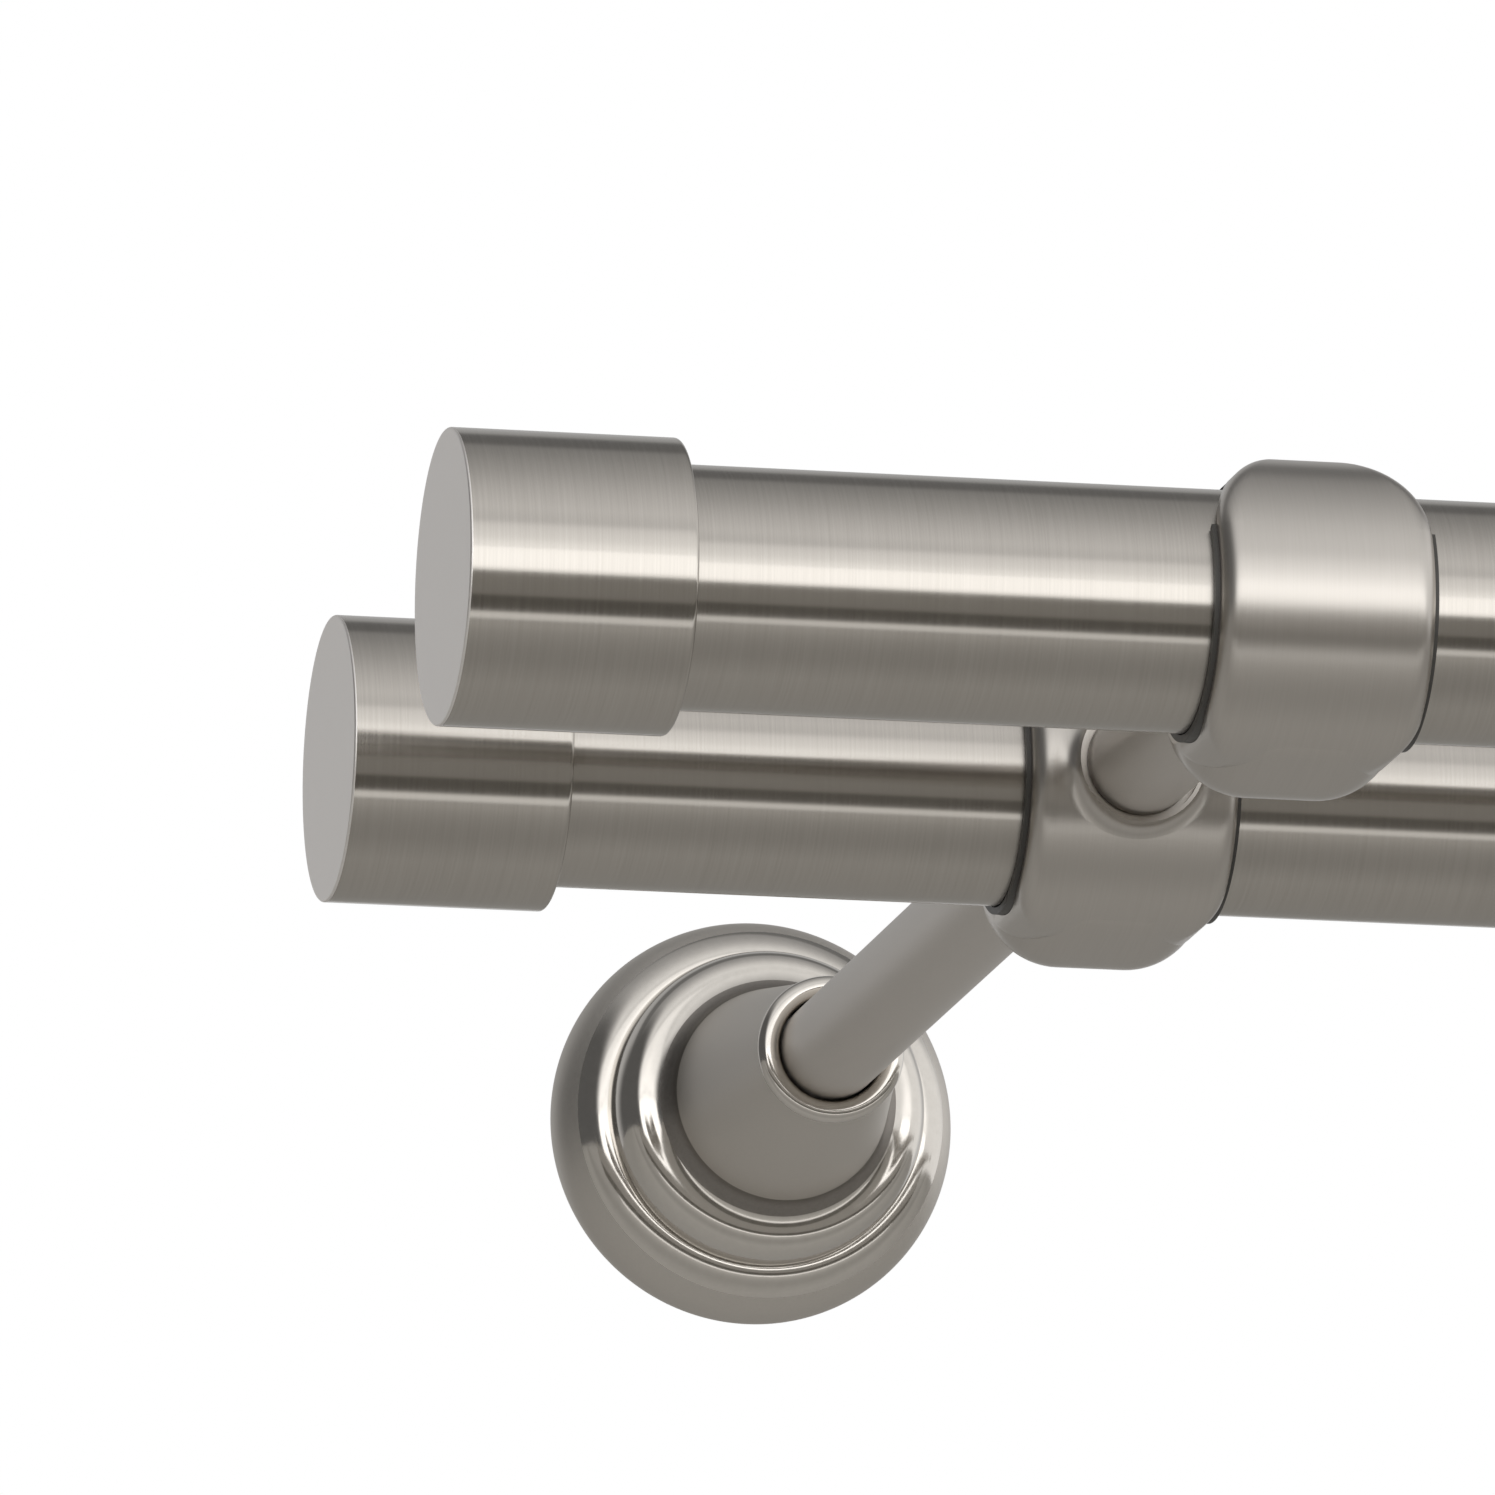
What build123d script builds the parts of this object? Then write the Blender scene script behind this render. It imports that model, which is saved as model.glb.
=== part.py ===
"""Double curtain pole: two parallel poles carried side by side by a pair of wall brackets.

Each bracket has a wall plate under a bell-shaped rosette, a rear arm, a rear holder, a front arm
and a front holder, in line with each other. The wall is the plane y = 0 and the room is at -Y.
The origin is on the wall, midway between the brackets, at the height of the arms' axis.
"""
from build123d import *
from math import cos, pi, radians, sin, sqrt
import os

os.makedirs("parts", exist_ok=True)

# Poles and their places, in millimetres
pole_diameter = 25.0
pole_wall = 1.0
wall_to_rear_pole = 188.0
rear_to_front_pole = 88.0
bracket_spacing = 1000.0
front_overhang = 88.4
rear_overhang = 83.7

# End caps
cap_diameter = 30.2
cap_length = 23.4
cap_floor = 3.4
cap_rim_chamfer = 0.4
cap_face_chamfer = 0.25
cap_clearance = 0.05

# Holder: a ring round the pole, well rounded at its top, that runs on into a hub towards the wall
ring_radius = 15.8
ring_half_width = 11.1
ring_top_corner = 10.4
ring_foot_corner = 4.5
ring_edge_radius = 2.2
outline_spare = 0.1
hub_half_width = 11.6
hub_rise = 13.0
hub_drop = 17.4
hub_top_corner = 9.5
hub_foot_corner = 8.0
hub_belly = 7.5
hub_lead = 5.4
hub_start_half_width = 10.4
hub_length = 25.5
hub_mouth_radius = 7.5
belly_shares = (0, 0.3, 0.6)
tail_shares = (0, 0.25, 0.5, 0.75, 1)
roundest_corner = 0.96
dish_radius = 14.2
dish_depth = 1.4
dish_reach = 4.6

# Boss on the front of the rear holder, which takes the front arm
boss_length = 1.6
boss_radius = 6.7
boss_flare = 2.2
boss_recess_radius = 6.3
boss_recess_depth = 1.2

# Sleeve that lines the holder and carries the pole, open at the top
liner_wall = 0.75
liner_lip = 0.5
liner_opening = 122.0
liner_clearance = 0.1
liner_seat_gap = 0.05

# Arms and the studs that join them to the holders
arm_diameter = 11.5
arm_chamfer = 0.3
arm_clearance = 0.1
socket_depth = 4.0
stud_diameter = 6.0
stud_clearance = 0.05
stud_depth = 8.0
stud_end_gap = 0.3
hub_web = 1.0

# Wall plate
plate_thickness = 3.5
plate_fit_clearance = 0.1
plate_boss_radius = 9.5
plate_boss_length = 16.0
plate_socket_floor = 2.0
screw_hole_diameter = 4.6
screw_head_diameter = 7.8
screw_hole_spacing = 29.0

# Rosette, a spun bell that hides the wall plate: runs of (radius, height) ends and handles
rosette_wall = 1.0
rosette_foot = (22.8, 0.0)
rosette_shoulder = (21.3, 8.2)
rosette_rim_handles = ((23.5, 2.0), (23.6, 5.2))
rosette_crease = (18.2, 10.4)
rosette_crest_handles = ((20.5, 9.4), (19.4, 10.4))
rosette_bead = (15.2, 17.4)
rosette_bead_handles = ((18.2, 13.6), (17.7, 17.0))
rosette_neck = (12.3, 20.6)
rosette_cove_handles = ((13.8, 17.7), (12.5, 18.6))
rosette_collar_radius = 8.1
rosette_height = 48.2
lip_radius = 1.2
lip_tuck = 0.3

# Grub screws
grub_diameter = 4.0
grub_clearance = 0.05
grub_seat_gap = 0.02
pole_grub_length = 3.0
arm_grub_length = 4.0
hex_socket_size = 2.0
hex_socket_depth = 1.4

# Sizes worked out from the ones above
pole_radius = pole_diameter / 2
arm_radius = arm_diameter / 2
stud_radius = stud_diameter / 2
grub_radius = grub_diameter / 2
stud_hole_radius = stud_radius + stud_clearance
rear_y = -wall_to_rear_pole
front_y = rear_y - rear_to_front_pole
bracket_x = bracket_spacing / 2
bore_radius = pole_radius + liner_clearance + liner_wall + liner_seat_gap
plate_radius = rosette_foot[0] - rosette_wall - plate_fit_clearance
boss_face = ring_radius + boss_length
hub_stud_depth = hub_length - socket_depth - bore_radius - hub_web
boss_stud_depth = boss_face - boss_recess_depth - bore_radius
rear_arm_ends = (rear_y + hub_length - socket_depth, -plate_socket_floor)
front_arm_ends = (front_y + hub_length - socket_depth, rear_y - boss_face + boss_recess_depth)
sides = {"left": -1, "right": 1}


def along_pole(x, y, outward=1):
    """Plane through a pole's axis: local x runs along the pole, local y is the radius."""
    return Plane(origin=(x, y, 0), x_dir=(outward, 0, 0), z_dir=(0, 0, 1))


def along_arm(x, y):
    """Plane through an arm's axis: local x is the radius, local y runs from the wall to the room."""
    return Plane(origin=(x, y, 0), x_dir=(1, 0, 0), z_dir=(0, 0, -1))


def across_arm(x, y):
    """Plane square to an arm, facing the wall: local x is -X, local y is +Z."""
    return Plane(origin=(x, y, 0), x_dir=(-1, 0, 0), z_dir=(0, 1, 0))


def toward_room(x, y):
    """Plane square to an arm, facing the room: local x is +X, local y is +Z."""
    return Plane(origin=(x, y, 0), x_dir=(1, 0, 0), z_dir=(0, -1, 0))


def square_to_pole(x, y):
    """Plane square to a pole: local x is +Y, local y is +Z."""
    return Plane(origin=(x, y, 0), x_dir=(0, 1, 0), z_dir=(1, 0, 0))


def make_pole(y, overhang):
    """A straight tube between the floors of its two end caps."""
    half_length = bracket_x + overhang - cap_floor
    with BuildPart() as pole:
        with BuildSketch(square_to_pole(-half_length, y)):
            Circle(pole_radius)
            Circle(pole_radius - pole_wall, mode=Mode.SUBTRACT)
        extrude(amount=2 * half_length)
    return pole


def make_cap(side, y, overhang):
    """A turned cup that slides over the pole's end, with a broken edge at its face and its rim."""
    radius = cap_diameter / 2
    bore = pole_radius + cap_clearance
    place = along_pole(side * (bracket_x + overhang), y, -side)
    with BuildPart() as cap:
        with BuildSketch(place):
            with BuildLine():
                Polyline(
                    (0, 0),
                    (0, radius - cap_face_chamfer),
                    (cap_face_chamfer, radius),
                    (cap_length - cap_rim_chamfer, radius),
                    (cap_length, radius - cap_rim_chamfer),
                    (cap_length, bore),
                    (cap_floor, bore),
                    (cap_floor, 0),
                    close=True,
                )
            make_face()
        revolve(axis=Axis(place.origin, (1, 0, 0)))
    return cap


def holder_outline(place, half_width, rise, drop, top_corner, foot_corner):
    """The holder's outline square to its arm: flat sides, a well-rounded top and a tighter foot."""
    with BuildSketch(place) as outline:
        with Locations((0, (rise - drop) / 2)):
            Rectangle(2 * half_width, rise + drop)
        fillet(outline.vertices().group_by(Axis.Y)[-1], min(top_corner, roundest_corner * half_width))
        fillet(outline.vertices().group_by(Axis.Y)[0], min(foot_corner, roundest_corner * half_width))
    return outline.sketch


def hub_section(x, y, distance):
    """The hub's outline at a distance behind the pole's axis: it leaves the ring's foot along it,
    is lowest at the belly, and from there closes in a wave to a round mouth."""
    start_drop = sqrt(ring_radius**2 - hub_lead**2)
    root = (hub_start_half_width, hub_rise, start_drop, hub_top_corner, hub_foot_corner)
    belly = (hub_half_width, hub_rise, hub_drop, hub_top_corner, hub_foot_corner)
    mouth = (hub_mouth_radius,) * 5
    if distance < hub_belly:
        start, end = root, belly
        share = 1 - ((hub_belly - distance) / (hub_belly + hub_lead)) ** 2
    else:
        start, end = belly, mouth
        share = (1 - cos(pi * (distance - hub_belly) / (hub_length - hub_belly))) / 2
    sizes = [first + (last - first) * share for first, last in zip(start, end)]
    return holder_outline(across_arm(x, y + distance), *sizes)


def make_holder(x, y, with_boss):
    """A cast ring with a hub behind it. The rear one also has a flared boss in front."""
    pole_axis = Axis((x, y, 0), (1, 0, 0))
    distances = [share * (hub_belly + hub_lead) - hub_lead for share in belly_shares]
    distances += [hub_belly + share * (hub_length - hub_belly) for share in tail_shares]
    sections = [hub_section(x, y, distance) for distance in distances]
    reach = ring_radius + outline_spare
    outline = holder_outline(across_arm(x, y), ring_half_width, reach, reach, ring_top_corner, ring_foot_corner)
    with BuildPart() as holder:
        with BuildSketch(square_to_pole(x, y)):
            Circle(ring_radius)
        extrude(amount=ring_half_width, both=True)
        extrude(outline, amount=2 * ring_radius, both=True, mode=Mode.INTERSECT)
        fillet(holder.edges().filter_by(GeomType.LINE, reverse=True), ring_edge_radius)
        loft(sections)
        if with_boss:
            with BuildSketch(toward_room(x, y)):
                Circle(boss_radius)
            extrude(amount=boss_face)
            join = holder.edges(Select.LAST).filter_by(GeomType.LINE, reverse=True).sort_by(Axis.Y)[1:]
            fillet(join, boss_flare)
        for outward in (-1, 1):
            with BuildSketch(along_pole(x, y, outward)):
                with BuildLine():
                    dish_edge = (ring_half_width + dish_depth, dish_radius + dish_reach)
                    Polyline(dish_edge, (2 * hub_half_width, dish_edge[1]), (2 * hub_half_width, 0))
                    Polyline((2 * hub_half_width, 0), (ring_half_width, 0), (ring_half_width, dish_radius))
                    TangentArc((ring_half_width, dish_radius), dish_edge, tangent=(0, 1))
                make_face()
            revolve(axis=pole_axis, mode=Mode.SUBTRACT)
        with BuildSketch(square_to_pole(x, y)):
            Circle(bore_radius)
        extrude(amount=2 * hub_half_width, both=True, mode=Mode.SUBTRACT)
        with BuildSketch(across_arm(x, y + hub_length - socket_depth)):
            Circle(arm_radius + arm_clearance)
        extrude(amount=socket_depth, mode=Mode.SUBTRACT)
        with BuildSketch(across_arm(x, y + bore_radius + hub_web)):
            Circle(stud_hole_radius)
        extrude(amount=hub_stud_depth, mode=Mode.SUBTRACT)
        if with_boss:
            with BuildSketch(across_arm(x, y - boss_face)):
                Circle(boss_recess_radius)
            extrude(amount=boss_recess_depth, mode=Mode.SUBTRACT)
            with BuildSketch(across_arm(x, y - boss_face)):
                Circle(stud_hole_radius)
            extrude(amount=boss_face - pole_radius, mode=Mode.SUBTRACT)
        with BuildSketch(Plane(origin=(x, y, pole_radius))):
            Circle(grub_radius + grub_clearance)
        extrude(amount=ring_radius, mode=Mode.SUBTRACT)
    return holder


def make_liner(x, y):
    """A thin sleeve, open at the top, that shows as a narrow lip at each side of the holder."""
    start = radians(90 + liner_opening / 2)
    inner = pole_radius + liner_clearance
    half_length = ring_half_width + liner_lip
    radial = Plane(origin=(x, y, 0), x_dir=(1, 0, 0), z_dir=(0, -sin(start), cos(start)))
    with BuildPart() as liner:
        with BuildSketch(radial):
            with Locations((0, inner + liner_wall / 2)):
                Rectangle(2 * half_length, liner_wall)
        revolve(axis=Axis((x, y, 0), (1, 0, 0)), revolution_arc=360 - liner_opening)
    return liner


def make_arm(x, ends, stud_holes):
    """A round rod with chamfered ends, drilled for a stud at the ends that join a holder."""
    room_end, wall_end = ends
    with BuildPart() as arm:
        with BuildSketch(across_arm(x, room_end)):
            Circle(arm_radius)
        extrude(amount=wall_end - room_end)
        chamfer(arm.edges().filter_by(GeomType.CIRCLE), arm_chamfer)
        for end, inward in stud_holes:
            with BuildSketch(across_arm(x, end)):
                Circle(stud_hole_radius)
            extrude(amount=inward * (stud_depth + stud_end_gap), mode=Mode.SUBTRACT)
    return arm


def make_stud(x, room_end, wall_end):
    """A threaded rod, drawn plain at its outer diameter."""
    with BuildPart() as stud:
        with BuildSketch(across_arm(x, room_end)):
            Circle(stud_radius)
        extrude(amount=wall_end - room_end)
    return stud


def make_grub(x, y, tip, length, direction):
    """A set screw that stands along Z, with its hexagon socket at the end away from the axis."""
    head = tip + direction * length
    with BuildPart() as grub:
        with BuildSketch(Plane(origin=(x, y, tip), z_dir=(0, 0, direction))):
            Circle(grub_radius)
        extrude(amount=length)
        with BuildSketch(Plane(origin=(x, y, head), z_dir=(0, 0, direction))):
            RegularPolygon(hex_socket_size / 2, 6, major_radius=False)
        extrude(amount=-hex_socket_depth, mode=Mode.SUBTRACT)
    return grub


def make_wall_plate(x):
    """A round plate with two countersunk screw holes, one above the other, and a socket for the arm."""
    grub_y = -(plate_thickness + plate_boss_length) / 2
    with BuildPart() as plate:
        with BuildSketch(toward_room(x, 0)):
            Circle(plate_radius)
        extrude(amount=plate_thickness)
        with BuildSketch(toward_room(x, 0)):
            Circle(plate_boss_radius)
        extrude(amount=plate_boss_length)
        with BuildSketch(toward_room(x, -plate_socket_floor)):
            Circle(arm_radius + arm_clearance)
        extrude(amount=plate_boss_length, mode=Mode.SUBTRACT)
        with Locations(toward_room(x, -plate_thickness)):
            with GridLocations(screw_hole_spacing, screw_hole_spacing, 1, 2):
                CounterSinkHole(screw_hole_diameter / 2, screw_head_diameter / 2, counter_sink_angle=90)
        with BuildSketch(Plane(origin=(x, grub_y, 0), z_dir=(0, 0, -1))):
            Circle(grub_radius + grub_clearance)
        extrude(amount=plate_boss_radius, mode=Mode.SUBTRACT)
    return plate, grub_y


def make_rosette(x):
    """A spun shell: a rounded rim, a crest, a bead, a cove and a long cone that ends in a rolled lip.

    Its inner wall is the outer one moved in and down, so that the metal is as thick all along.
    """
    lip = (rosette_collar_radius - lip_radius + lip_tuck, rosette_height - lip_radius)
    runs = (
        (rosette_foot, *rosette_rim_handles, rosette_shoulder),
        (rosette_shoulder, *rosette_crest_handles, rosette_crease),
        (rosette_crease, *rosette_bead_handles, rosette_bead),
        (rosette_bead, *rosette_cove_handles, rosette_neck),
    )
    inner_foot = (rosette_foot[0] - rosette_wall, 0)
    inner_runs = [[(r - rosette_wall, h - rosette_wall) for r, h in run] for run in runs]
    inner_runs[0][0] = inner_foot
    inner_collar = (rosette_collar_radius - rosette_wall, lip[1])
    with BuildPart() as rosette:
        with BuildSketch(along_arm(x, 0)):
            with BuildLine():
                for run in runs + tuple(inner_runs):
                    Bezier(*run)
                Polyline(rosette_neck, (rosette_collar_radius, lip[1]), inner_collar, inner_runs[-1][-1])
                Line(rosette_foot, inner_foot)
            make_face()
            with Locations(lip):
                Circle(lip_radius)
        revolve(axis=Axis((x, 0, 0), (0, 1, 0)))
    return rosette


for row, y, overhang in (("rear", rear_y, rear_overhang), ("front", front_y, front_overhang)):
    pole = make_pole(y, overhang)
    pole.part.label = f"{row}_pole"
    export_step(pole.part, f"parts/{row}_pole.step")
    for side, sign in sides.items():
        cap = make_cap(sign, y, overhang)
        cap.part.label = f"{row}_{side}_cap"
        export_step(cap.part, f"parts/{row}_{side}_cap.step")
        x = sign * bracket_x
        holder = make_holder(x, y, with_boss=(row == "rear"))
        holder.part.label = f"{row}_{side}_holder"
        export_step(holder.part, f"parts/{row}_{side}_holder.step")
        liner = make_liner(x, y)
        liner.part.label = f"{row}_{side}_liner"
        export_step(liner.part, f"parts/{row}_{side}_liner.step")
        grub = make_grub(x, y, pole_radius + grub_seat_gap, pole_grub_length, 1)
        grub.part.label = f"{row}_{side}_pole_screw"
        export_step(grub.part, f"parts/{row}_{side}_pole_screw.step")

for side, sign in sides.items():
    x = sign * bracket_x
    plate, grub_y = make_wall_plate(x)
    plate.part.label = f"{side}_wall_plate"
    export_step(plate.part, f"parts/{side}_wall_plate.step")
    rosette = make_rosette(x)
    rosette.part.label = f"{side}_rosette"
    export_step(rosette.part, f"parts/{side}_rosette.step")
    grub = make_grub(x, grub_y, -(arm_radius + grub_seat_gap), arm_grub_length, -1)
    grub.part.label = f"{side}_arm_screw"
    export_step(grub.part, f"parts/{side}_arm_screw.step")
    rear_arm = make_arm(x, rear_arm_ends, [(rear_arm_ends[0], 1)])
    rear_arm.part.label = f"rear_{side}_arm"
    export_step(rear_arm.part, f"parts/rear_{side}_arm.step")
    front_arm = make_arm(x, front_arm_ends, [(front_arm_ends[0], 1), (front_arm_ends[1], -1)])
    front_arm.part.label = f"front_{side}_arm"
    export_step(front_arm.part, f"parts/front_{side}_arm.step")
    stud_places = {
        "rear": (rear_arm_ends[0] - hub_stud_depth + stud_end_gap, rear_arm_ends[0] + stud_depth),
        "middle": (front_arm_ends[1] - stud_depth, front_arm_ends[1] + boss_stud_depth - stud_end_gap),
        "front": (front_arm_ends[0] - hub_stud_depth + stud_end_gap, front_arm_ends[0] + stud_depth),
    }
    for place, (room_end, wall_end) in stud_places.items():
        stud = make_stud(x, room_end, wall_end)
        stud.part.label = f"{place}_{side}_stud"
        export_step(stud.part, f"parts/{place}_{side}_stud.step")
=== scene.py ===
"""Double curtain pole in satin nickel, seen from below and from the left: finishes, studio and camera."""
from math import pi, radians

import bmesh
import bpy
import numpy as np
from mathutils import Matrix, Vector


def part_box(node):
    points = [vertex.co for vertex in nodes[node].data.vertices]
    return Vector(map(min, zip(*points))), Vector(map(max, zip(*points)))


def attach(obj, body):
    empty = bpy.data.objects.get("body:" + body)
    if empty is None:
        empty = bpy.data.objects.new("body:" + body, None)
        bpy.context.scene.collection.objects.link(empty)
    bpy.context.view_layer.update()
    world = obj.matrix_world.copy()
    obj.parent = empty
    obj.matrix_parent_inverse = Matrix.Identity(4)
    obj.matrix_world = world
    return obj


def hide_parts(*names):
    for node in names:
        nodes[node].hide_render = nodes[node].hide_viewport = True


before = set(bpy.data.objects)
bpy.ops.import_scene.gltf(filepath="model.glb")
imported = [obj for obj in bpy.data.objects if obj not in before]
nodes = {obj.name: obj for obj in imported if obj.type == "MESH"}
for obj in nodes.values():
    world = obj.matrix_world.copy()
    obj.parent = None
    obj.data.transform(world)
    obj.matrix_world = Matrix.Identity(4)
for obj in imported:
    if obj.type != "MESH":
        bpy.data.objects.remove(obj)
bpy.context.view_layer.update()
mm = 0.001
sides = {"left": -1, "right": 1}
rows = ("rear", "front")

# The photograph's camera: where it stands, which way it looks and how long its lens is
camera_place = Vector((-0.95909, -2.21860, -0.44442))
camera_yaw = radians(11.694)
camera_pitch = radians(12.181)
camera_roll = radians(0.069)
camera_lens = 484.7
camera_sensor = 36.0

# Sizes of the turned pieces, in millimetres, as the solids have them
pole_wall = 1.0
cap_floor = 3.4
cap_bore = 12.55
cap_rim_round = 0.4
cap_face_round = 0.25
arm_edge = 0.3
turning_steps = 256
arm_steps = 128

# The rosette's outline as (radius, height) runs: the ends of each run and the handles that bend it
# The rim's widest handle is 0.02 mm short of the solid's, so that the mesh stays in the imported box
rosette_rim = ((22.8, 0.0), (23.5, 2.0), (23.58, 5.2), (21.3, 8.2))
rosette_crest = ((21.3, 8.2), (20.5, 9.4), (19.4, 10.4), (18.2, 10.4))
rosette_bead = ((18.2, 10.4), (18.2, 13.6), (17.7, 17.0), (15.2, 17.4))
rosette_cove = ((15.2, 17.4), (13.8, 17.7), (12.5, 18.6), (12.3, 20.6))
rosette_wall = 1.0
rosette_lip_centre = (7.15, 46.95)
rosette_lip_radius = 1.25
rosette_lip_start = radians(-42)
rosette_lip_end = radians(235)
rosette_lip_points = 33
rosette_groove_steps = 15

# The studio, in metres and in brightness, where 1 is white
floor_drop = 2.0
floor_radius = 30.0
floor_lift = 0.45
# The floor's paint by the distance along Y, in metres: its darker tones, most under the front of the poles,
# are painted shade
floor_tones = (
    (-4.0, "D6D4D0"), (-2.2, "D2D0CC"), (-1.1, "C2C0BC"),
    (-0.7, "C2C0BC"), (0.1, "D6D4D0"), (4.0, "C8C6C2"),
)
# Each lamp's distance in front of the poles, its lower and upper edge by angle, and its brightness
strip_length = 7.0
strips = {
    "strip_softbox": (3.0, radians(-6.0), radians(12), 1.12),
    "low_strip": (2.0, radians(-43.5), radians(-38), 0.65),
}
# The flags hang one under the other in front of the poles, with their edges at these angles
flag_distance = 1.5
flag_half_width = 4.0
flag_edges = [radians(degrees) for degrees in (-6.5, -25, -37.5)]
flag_paints = {"grey_flag": "DEDBD6", "black_flag": "9A9791"}
# Half the studio's brightness by the angle round the poles: 0 is level in front and 90 overhead
studio_strength = 2.0
studio_tones = (
    (0, 0.42), (11, 0.42), (13, 0.8), (16, 0.76), (20, 0.66), (30, 0.58), (34, 0.43), (45, 0.47),
    (60, 0.4), (80, 0.29), (100, 0.21), (111, 0.18), (116, 0.1), (131, 0.09), (138, 0.22), (180, 0.3),
)
# Where the studio fades towards each end of the poles, by the X of the direction, and to what tone
left_fade, left_tone = (-0.5, -0.8), 0.06
right_fade, right_tone = (0.6, 0.92), 0.5
seen_tone = 0.5


def add_node(tree, kind, inputs=(), **settings):
    """Adds a node of a kind with its settings, and sets or links the inputs that are given."""
    node = tree.nodes.new(kind)
    for name, value in settings.items():
        setattr(node, name, value)
    for socket, value in dict(inputs).items():
        if isinstance(value, bpy.types.NodeSocket):
            tree.links.new(value, node.inputs[socket])
        else:
            node.inputs[socket].default_value = value
    return node


def linear(hex_colour):
    """The linear colour of an sRGB hex value."""
    parts = np.array([int(hex_colour[i:i + 2], 16) / 255 for i in (0, 2, 4)])
    light = np.where(parts <= 0.04045, parts / 12.92, ((parts + 0.055) / 1.055) ** 2.4)
    return (*light.tolist(), 1.0)


def grey(value):
    """The colour of a linear brightness."""
    return (value, value, value, 1.0)


def start_material(name):
    """A named material with an empty node tree."""
    material = bpy.data.materials.new(name)
    material.use_nodes = True
    material.node_tree.nodes.clear()
    return material, material.node_tree


def set_stops(ramp, stops):
    """Gives a ramp its stops, from (place, brightness) pairs in order."""
    for place, value in stops[2:]:
        ramp.elements.new(place)
    for element, (place, value) in zip(ramp.elements, stops):
        element.position = place
        element.color = grey(value)


def worked_surface(name, dark, light, roughness, anisotropy, lines, tangent=None, uneven=0.04,
                   relief=0.002, turned_by=0.0, metallic=1.0):
    """Metal or plastic, whose sheen and colour vary a little along the marks that its finishing left.

    lines is how many marks a millimetre crosses along X, Y and Z, and relief is how deep they are, in
    millimetres.
    """
    material, tree = start_material(name)
    place = add_node(tree, "ShaderNodeTexCoord").outputs["Object"]
    spread = add_node(tree, "ShaderNodeMapping", {"Vector": place, "Scale": [n / mm for n in lines]})
    marks = add_node(tree, "ShaderNodeTexNoise",
                     {"Vector": spread.outputs[0], "Scale": 1.0, "Detail": 2.0, "Roughness": 0.7})
    tint = add_node(tree, "ShaderNodeMix",
                    {0: marks.outputs[0], 6: linear(dark), 7: linear(light)}, data_type="RGBA")
    faint, strong = 0.3, 0.7
    sheen = add_node(tree, "ShaderNodeMapRange",
                     {0: marks.outputs[0], 1: faint, 2: strong, 3: roughness - uneven, 4: roughness + uneven})
    bump = add_node(tree, "ShaderNodeBump",
                    {"Strength": 1.0, "Distance": relief * mm, "Height": marks.outputs[0]})
    inputs = {"Base Color": tint.outputs[2], "Metallic": metallic, "Roughness": sheen.outputs[0],
              "Anisotropic": anisotropy, "Anisotropic Rotation": turned_by, "Normal": bump.outputs[0]}
    if tangent:
        inputs["Tangent"] = add_node(tree, "ShaderNodeTangent", **tangent).outputs[0]
    shader = add_node(tree, "ShaderNodeBsdfPrincipled", inputs)
    add_node(tree, "ShaderNodeOutputMaterial", {"Surface": shader.outputs[0]})
    return material


def rounded_profile(corners, rounds, steps=6, guard=0.05):
    """A line through corners, with an arc of the given radius at each corner that has one.

    The arc turns from one run's direction to the next, and a guard point stands just outside each of
    its ends, so that the flats beside it shade flat.
    """
    corners = np.array(corners, float)
    points = [corners[0]]
    for before, corner, after, radius in zip(corners, corners[1:], corners[2:], rounds):
        if radius == 0:
            points.append(corner)
            continue
        into = (corner - before) / np.linalg.norm(corner - before)
        out = (after - corner) / np.linalg.norm(after - corner)
        turn = np.arccos(np.clip(into @ out, -1, 1))
        reach = radius * np.tan(turn / 2)
        inward = (out - into) / np.linalg.norm(out - into)
        centre = corner + inward * radius / np.cos(turn / 2)
        start = corner - into * reach - centre
        ahead = into * radius
        angles = np.linspace(0, turn, steps + 1)[:, None]
        arc = centre + start * np.cos(angles) + ahead * np.sin(angles)
        points += [arc[0] - into * guard, *arc, arc[-1] + out * guard]
    points.append(corners[-1])
    return np.array(points)


def bent_run(ends_and_handles, steps=24):
    """A run between two ends that leaves and arrives along its handles: a cubic curve in t.

    The point at t is (1-t)^3 a + 3(1-t)^2 t b + 3(1-t) t^2 c + t^3 d.
    """
    a, b, c, d = np.array(ends_and_handles, float)
    t = np.linspace(0, 1, steps + 1)[:, None]
    return (1 - t) ** 3 * a + 3 * (1 - t) ** 2 * t * b + 3 * (1 - t) * t ** 2 * c + t ** 3 * d


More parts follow.
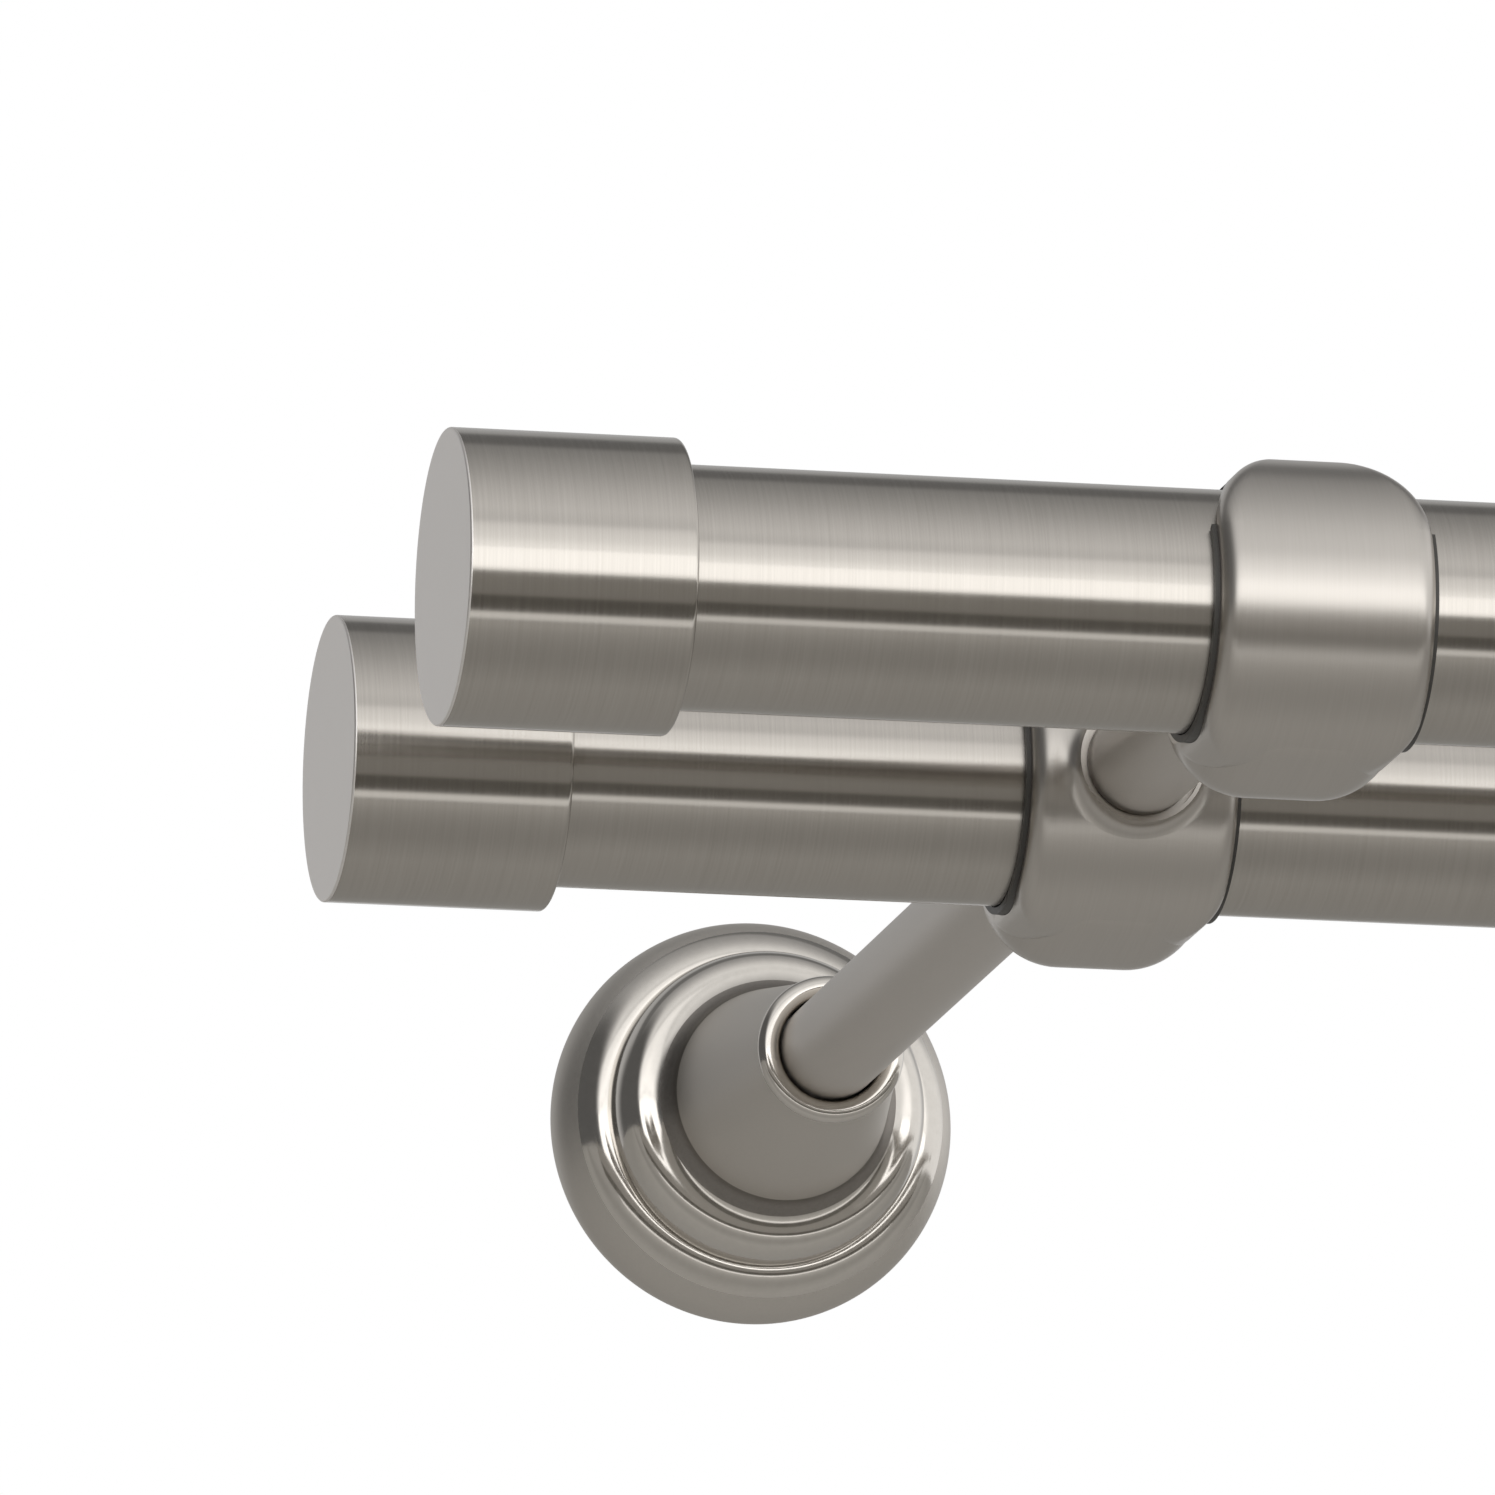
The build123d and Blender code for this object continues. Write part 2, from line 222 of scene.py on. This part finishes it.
def grid_piece(name, points, replaced, materials, row_finish=0, sharp=radians(30)):
    """A mesh over a grid of points, in metres, whose columns close on themselves.

    Corner (i, j) joins (i, j + 1) and (i + 1, j). Rows that shrink to a point close as fans. Its own
    UV runs along the rows' profile in u and round the columns in v. row_finish gives each row of
    faces its material's number.
    """
    row_count, columns = points.shape[:2]
    index = np.arange(row_count * columns).reshape(row_count, columns)
    around = np.roll(index, -1, axis=1)
    faces = np.stack([index[:-1], around[:-1], around[1:], index[1:]], axis=-1).reshape(-1, 4)
    along = np.concatenate([[0], np.cumsum(np.linalg.norm(np.diff(points[:, 0], axis=0), axis=1))])
    share = np.arange(columns + 1) / columns
    u, v = np.meshgrid(along, share, indexing="ij")
    corner = np.stack([u, v], axis=-1)
    uv = np.stack([corner[:-1, :-1], corner[:-1, 1:], corner[1:, 1:], corner[1:, :-1]], axis=-2)
    mesh = bpy.data.meshes.new(name)
    mesh.from_pydata(points.reshape(-1, 3), [], faces.tolist())
    mesh.uv_layers.new(name="profile").data.foreach_set("uv", uv.reshape(-1))
    for material in materials:
        mesh.materials.append(material)
    finish = np.broadcast_to(np.asarray(row_finish, np.int32), (row_count - 1,))
    mesh.polygons.foreach_set("material_index", np.repeat(finish, columns))
    work = bmesh.new()
    work.from_mesh(mesh)
    bmesh.ops.remove_doubles(work, verts=work.verts, dist=1e-7)
    bmesh.ops.recalc_face_normals(work, faces=work.faces)
    work.to_mesh(mesh)
    work.free()
    mesh.shade_smooth()
    mesh.set_sharp_from_angle(angle=sharp)
    piece = bpy.data.objects.new(name, mesh)
    bpy.context.collection.objects.link(piece)
    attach(piece, "root")
    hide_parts(*replaced)
    return piece


def turned(profile, centre, axis, steps=turning_steps):
    """Points of a profile turned round an axis.

    Each profile point is (distance along the axis, radius) in millimetres. The point at angle t is
    centre + axis * distance + (side * cos t + up * sin t) * radius.
    """
    axis = np.array(axis, float)
    up = np.array([0.0, 0.0, 1.0])
    side = np.cross(axis, up)
    angle = np.linspace(0, 2 * pi, steps, endpoint=False)
    ring = np.cos(angle)[:, None] * side + np.sin(angle)[:, None] * up
    along, radius = profile[:, 0, None, None] * mm, profile[:, 1, None, None] * mm
    return np.array(centre) + along * axis + radius * ring


def middle(low, high):
    """The middle of a box."""
    return np.array((low + high) / 2)


def make_pole(row, material):
    """A drawn tube, round its node's own axis, with both walls and both cut ends."""
    low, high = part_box(f"{row}_pole")
    centre = middle(low, high)
    half, radius = (high.x - low.x) / 2 / mm, (high.z - low.z) / 2 / mm
    bore = radius - pole_wall
    profile = np.array([(-half, bore), (-half, radius), (half, radius), (half, bore), (-half, bore)])
    return grid_piece(f"{row}_pole_tube", turned(profile, centre, (1, 0, 0)),
                      [f"{row}_pole"], [material])


def make_cap(row, side, materials):
    """A turned cup with a softened edge at its face and a rounded rim over the pole."""
    low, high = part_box(f"{row}_{side}_cap")
    centre = middle(low, high)
    inward = -sides[side]
    centre[0] = low.x if inward > 0 else high.x
    length, radius = (high.x - low.x) / mm, (high.z - low.z) / 2 / mm
    corners = [(0, 0), (0, radius), (length, radius), (length, cap_bore), (cap_floor, cap_bore),
               (cap_floor, 0)]
    profile = rounded_profile(corners, [cap_face_round, cap_rim_round, 0, 0])
    # The face and its softened edge take the nickel painted paler, as painted light
    on_face = profile[1:, 0] <= cap_face_round
    return grid_piece(f"{row}_{side}_end_cap", turned(profile, centre, (inward, 0, 0)),
                      [f"{row}_{side}_cap"], materials, on_face)


def make_arm(row, side, material):
    """A round rod with a softened edge at each end."""
    low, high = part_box(f"{row}_{side}_arm")
    centre = middle(low, high)
    half, radius = (high.y - low.y) / 2 / mm, (high.z - low.z) / 2 / mm
    corners = [(-half, 0), (-half, radius), (half, radius), (half, 0)]
    profile = rounded_profile(corners, [arm_edge, arm_edge], steps=4)
    return grid_piece(f"{row}_{side}_arm_rod", turned(profile, centre, (0, 1, 0), arm_steps),
                      [f"{row}_{side}_arm"], [material])


def make_rosette(side, materials):
    """A spun bell: a rounded rim, a crest, a bead, a cove and a long cone that ends in a rolled lip.

    The lip's point at angle t is its centre + (cos t, sin t) * radius. The inner wall is the outer
    outline moved in and down by the metal's thickness. Rim and cone are satin, the cone's foot is a
    ring of painted shade in darker nickel and the rest is polished.
    """
    low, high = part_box(f"{side}_rosette")
    centre = middle(low, high)
    centre[1] = high.y
    angles = np.linspace(rosette_lip_start, rosette_lip_end, rosette_lip_points)
    circle = np.stack([np.cos(angles), np.sin(angles)], axis=1)
    lip = np.array(rosette_lip_centre) + rosette_lip_radius * circle
    runs = [bent_run(run) for run in (rosette_rim, rosette_crest, rosette_bead, rosette_cove)]
    outer = np.concatenate([runs[0]] + [run[1:] for run in runs[1:]])
    inner = np.maximum(outer - rosette_wall, (0.0, 0.0))
    outline = np.concatenate([outer, lip, inner[::-1], outer[:1]])
    polished, satin, painted_shade_foot = range(3)
    rim_rows, cone_row = len(runs[0]) - 1, len(outer) - 1
    finish = np.full(len(outline) - 1, polished)
    finish[:rim_rows] = satin
    finish[cone_row] = satin
    # The rows at the cone's foot take the darker nickel, as painted shade
    finish[cone_row - rosette_groove_steps:cone_row] = painted_shade_foot
    profile = outline[:, ::-1]
    return grid_piece(f"{side}_rosette_bell", turned(profile, centre, (0, -1, 0)),
                      [f"{side}_rosette"], materials, finish)


def make_studio():
    """Soft studio light as one brightness for each direction, which lights and mirrors in the metal.

    The brightness follows the angle round the poles: 0 is level in front, 90 overhead or underneath and
    180 level at the wall. It fades to an even tone towards each end of the poles. The camera alone sees
    white in its place, because the photographed metal mirrors grey fields and no white background.
    """
    world = bpy.data.worlds.new("soft_studio")
    bpy.context.scene.world = world
    world.use_nodes = True
    tree = world.node_tree
    tree.nodes.clear()
    way = add_node(tree, "ShaderNodeTexCoord").outputs["Generated"]
    parts = add_node(tree, "ShaderNodeSeparateXYZ", {0: way})
    roomward = add_node(tree, "ShaderNodeMath", {0: parts.outputs[1], 1: -1.0}, operation="MULTIPLY")
    angle = add_node(tree, "ShaderNodeMath", {0: parts.outputs[2], 1: roomward.outputs[0]},
                     operation="ARCTAN2")
    height = add_node(tree, "ShaderNodeMath", {0: angle.outputs[0]}, operation="ABSOLUTE")
    share = add_node(tree, "ShaderNodeMapRange", {0: height.outputs[0], 1: 0.0, 2: pi, 3: 0.0, 4: 1.0})
    ramp = add_node(tree, "ShaderNodeValToRGB", {0: share.outputs[0]})
    set_stops(ramp.color_ramp, [(degrees / 180, tone) for degrees, tone in studio_tones])
    tone = ramp.outputs[0]
    for (start, end), end_tone in ((left_fade, left_tone), (right_fade, right_tone)):
        fade = add_node(tree, "ShaderNodeMapRange",
                        {0: parts.outputs[0], 1: start, 2: end, 3: 0.0, 4: 1.0},
                        interpolation_type="SMOOTHSTEP")
        tone = add_node(tree, "ShaderNodeMix", {0: fade.outputs[0], 6: tone, 7: grey(end_tone)},
                        data_type="RGBA").outputs[2]
    seen = add_node(tree, "ShaderNodeLightPath").outputs["Is Camera Ray"]
    white = add_node(tree, "ShaderNodeMix", {0: seen, 6: tone, 7: grey(seen_tone)}, data_type="RGBA")
    light = add_node(tree, "ShaderNodeBackground",
                     {"Color": white.outputs[2], "Strength": studio_strength})
    add_node(tree, "ShaderNodeOutputWorld", {"Surface": light.outputs[0]})


def flat_board(name, corners, material):
    """A four-cornered board of the studio, that isn't part of the object."""
    mesh = bpy.data.meshes.new(name)
    mesh.from_pydata([tuple(c) for c in corners], [], [(0, 1, 2, 3)])
    mesh.materials.append(material)
    board = bpy.data.objects.new(name, mesh)
    bpy.context.collection.objects.link(board)
    return board


def plain_paint(name, hex_colour):
    """Matt paint of one colour, for the studio."""
    material, tree = start_material(name)
    shader = add_node(tree, "ShaderNodeBsdfDiffuse", {"Color": linear(hex_colour)})
    add_node(tree, "ShaderNodeOutputMaterial", {"Surface": shader.outputs[0]})
    return material


def floor_paint():
    """Pale matt paint with painted shade that darkens it under the front of the poles, and lifted for the
    camera alone.
    """
    material, tree = start_material("pale_floor_paint_with_painted_shade")
    place = add_node(tree, "ShaderNodeTexCoord").outputs["Object"]
    y = add_node(tree, "ShaderNodeSeparateXYZ", {0: place}).outputs[1]
    near, far = floor_tones[0][0], floor_tones[-1][0]
    share = add_node(tree, "ShaderNodeMapRange", {0: y, 1: near, 2: far, 3: 0.0, 4: 1.0})
    ramp = add_node(tree, "ShaderNodeValToRGB", {0: share.outputs[0]})
    for _ in floor_tones[2:]:
        ramp.color_ramp.elements.new(0.5)
    for element, (distance, hex_colour) in zip(ramp.color_ramp.elements, floor_tones):
        element.position = (distance - near) / (far - near)
        element.color = linear(hex_colour)
    paint = add_node(tree, "ShaderNodeBsdfDiffuse", {"Color": ramp.outputs[0]})
    seen = add_node(tree, "ShaderNodeLightPath").outputs["Is Camera Ray"]
    lift = add_node(tree, "ShaderNodeMath", {0: seen, 1: floor_lift}, operation="MULTIPLY")
    glow = add_node(tree, "ShaderNodeEmission", {"Color": linear("FFFFFF"), "Strength": lift.outputs[0]})
    both = add_node(tree, "ShaderNodeAddShader", {0: paint.outputs[0], 1: glow.outputs[0]})
    add_node(tree, "ShaderNodeOutputMaterial", {"Surface": both.outputs[0]})
    return material


def make_camera():
    """The photograph's camera: it looks along +Y, turned right by its yaw and up by its pitch."""
    forward = Vector((
        np.sin(camera_yaw) * np.cos(camera_pitch),
        np.cos(camera_yaw) * np.cos(camera_pitch),
        np.sin(camera_pitch),
    ))
    level = forward.cross(Vector((0, 0, 1))).normalized()
    upward = level.cross(forward)
    right = level * np.cos(camera_roll) + upward * np.sin(camera_roll)
    up = upward * np.cos(camera_roll) - level * np.sin(camera_roll)
    camera = bpy.data.objects.new("camera", bpy.data.cameras.new("camera"))
    bpy.context.collection.objects.link(camera)
    camera.data.lens = camera_lens
    camera.data.sensor_width = camera_sensor
    camera.data.clip_start = 0.05
    camera.data.clip_end = 200
    turn = Matrix((right, up, -forward)).transposed().to_4x4()
    camera.matrix_world = Matrix.Translation(camera_place) @ turn
    bpy.context.scene.camera = camera


make_camera()
make_studio()

# Real brush marks lie some 0.05 mm apart, too fine to show here, so they are drawn four or five to the
# millimetre, and the grain of the even finishes one to four to the millimetre
along_profile = {"direction_type": "UV_MAP", "uv_map": "profile"}
round_bore = {"direction_type": "RADIAL", "axis": "X"}
# Brushed as the tube turns: faint rings, and bands of light that stay sharp round the pole
pole_nickel = worked_surface(
    "belt_brushed_satin_nickel", "B1ACA5", "C5C0B9", 0.22, 0.95, (4.0, 0.05, 0.05),
    along_profile, uneven=0.02, relief=0.001)
# Brushed on the lathe: the same rings, with bands of light a little crisper than the pole's
cap_nickel = worked_surface(
    "lathe_brushed_satin_nickel", "B1ACA5", "C5C0B9", 0.20, 0.95, (4.0, 0.05, 0.05),
    along_profile, uneven=0.02, relief=0.001)
# Blasted before plating: a flat grey that shows no band of light, painted paler than the cap's sleeve as
# painted light
face_nickel_painted_paler = worked_surface("blasted_nickel_painted_paler", "ECE8E4", "F6F2EE", 0.42, 0.0, (4.0, 4.0, 4.0))
# Tumbled before plating: an even grey whose light side fades softly into the dark one
arm_nickel = worked_surface("tumbled_satin_nickel", "CBC6C0", "DAD5CF", 0.46, 0.0, (3.0, 3.0, 3.0))
# Cast and finished on a mop: a broad soft sheen that bends with the form, almost without marks
cast_nickel = worked_surface(
    "mop_finished_satin_nickel_on_castings", "BFBAB3", "C9C4BE", 0.30, 0.4, (5.0, 0.1, 0.1),
    round_bore, uneven=0.015, relief=0.0005, turned_by=0.25)
# Dulled with a pad after spinning: an even grey that sets off the polish beside it
spun_nickel = worked_surface("pad_dulled_nickel_on_spun_bell", "C8C3BC", "D5D0C9", 0.46, 0.0, (3.0, 3.0, 3.0))
# Painted shade: a dark ring at the foot of the cone, in the hollow below the bead
painted_shade_nickel = worked_surface(
    "nickel_with_painted_shade_at_cone_foot", "85807B", "97928C", 0.36, 0.0, (2.0, 2.0, 2.0))
# Polished on a wheel: near mirror, with thin white lines along every crest
bright_nickel = worked_surface(
    "wheel_polished_nickel_on_spun_bell", "D0CBC4", "DBD6CF", 0.11, 0.0, (1.0, 1.0, 1.0), uneven=0.02)
# Zinc from the plating barrel: a bluish pale grey, a little cloudy
zinc = worked_surface("barrel_plated_bright_zinc", "B4B8BC", "C6CACE", 0.30, 0.0, (2.0, 2.0, 2.0))
# A dark matt non-metal on the liner: a dark line between holder and pole
liner = worked_surface(
    "dark_matt_nonmetal", "3A3835", "464440", 0.45, 0.0, (2.0, 2.0, 2.0), metallic=0.0)

for side in sides:
    make_rosette(side, [bright_nickel, spun_nickel, painted_shade_nickel])
for row in rows:
    make_pole(row, pole_nickel)
    for side in sides:
        make_cap(row, side, [cap_nickel, face_nickel_painted_paler])
        make_arm(row, side, arm_nickel)

carried_finish = {"holder": cast_nickel, "liner": liner, "stud": zinc, "screw": zinc, "plate": zinc}
for name, node in nodes.items():
    finish = carried_finish.get(name.split("_")[-1])
    if finish:
        node.material_slots[0].material = finish

# The floor's corners run round it, seen from above against the clock
ways = ((-1, -1), (1, -1), (1, 1), (-1, 1))
flat_board("floor", [(x * floor_radius, y * floor_radius, -floor_drop) for x, y in ways], floor_paint())

# The flags show only in the metal
front_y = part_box("front_pole")[0].y
for (name, hex_colour), high, low in zip(flag_paints.items(), flag_edges, flag_edges[1:]):
    y = front_y - flag_distance
    top, bottom = flag_distance * np.tan(high), flag_distance * np.tan(low)
    left, right = -flag_half_width, flag_half_width
    flag = flat_board(name, [(left, y, bottom), (right, y, bottom), (right, y, top), (left, y, top)],
                      plain_paint(name + "_paint", hex_colour))
    flag.visible_camera = flag.visible_diffuse = flag.visible_shadow = False

# An area lamp looks as bright as its power over pi and its area
for name, (distance, low, high, brightness) in strips.items():
    bottom, top = distance * np.tan(low), distance * np.tan(high)
    lamp = bpy.data.lights.new(name, "AREA")
    lamp.shape = "RECTANGLE"
    lamp.size = strip_length
    lamp.size_y = top - bottom
    lamp.energy = brightness * pi * lamp.size * lamp.size_y
    strip = bpy.data.objects.new(name, lamp)
    bpy.context.collection.objects.link(strip)
    strip.location = (0, front_y - distance, (bottom + top) / 2)
    strip.rotation_euler = (pi / 2, 0, 0)
    strip.visible_camera = False

scene = bpy.context.scene
scene.view_settings.view_transform = "Standard"
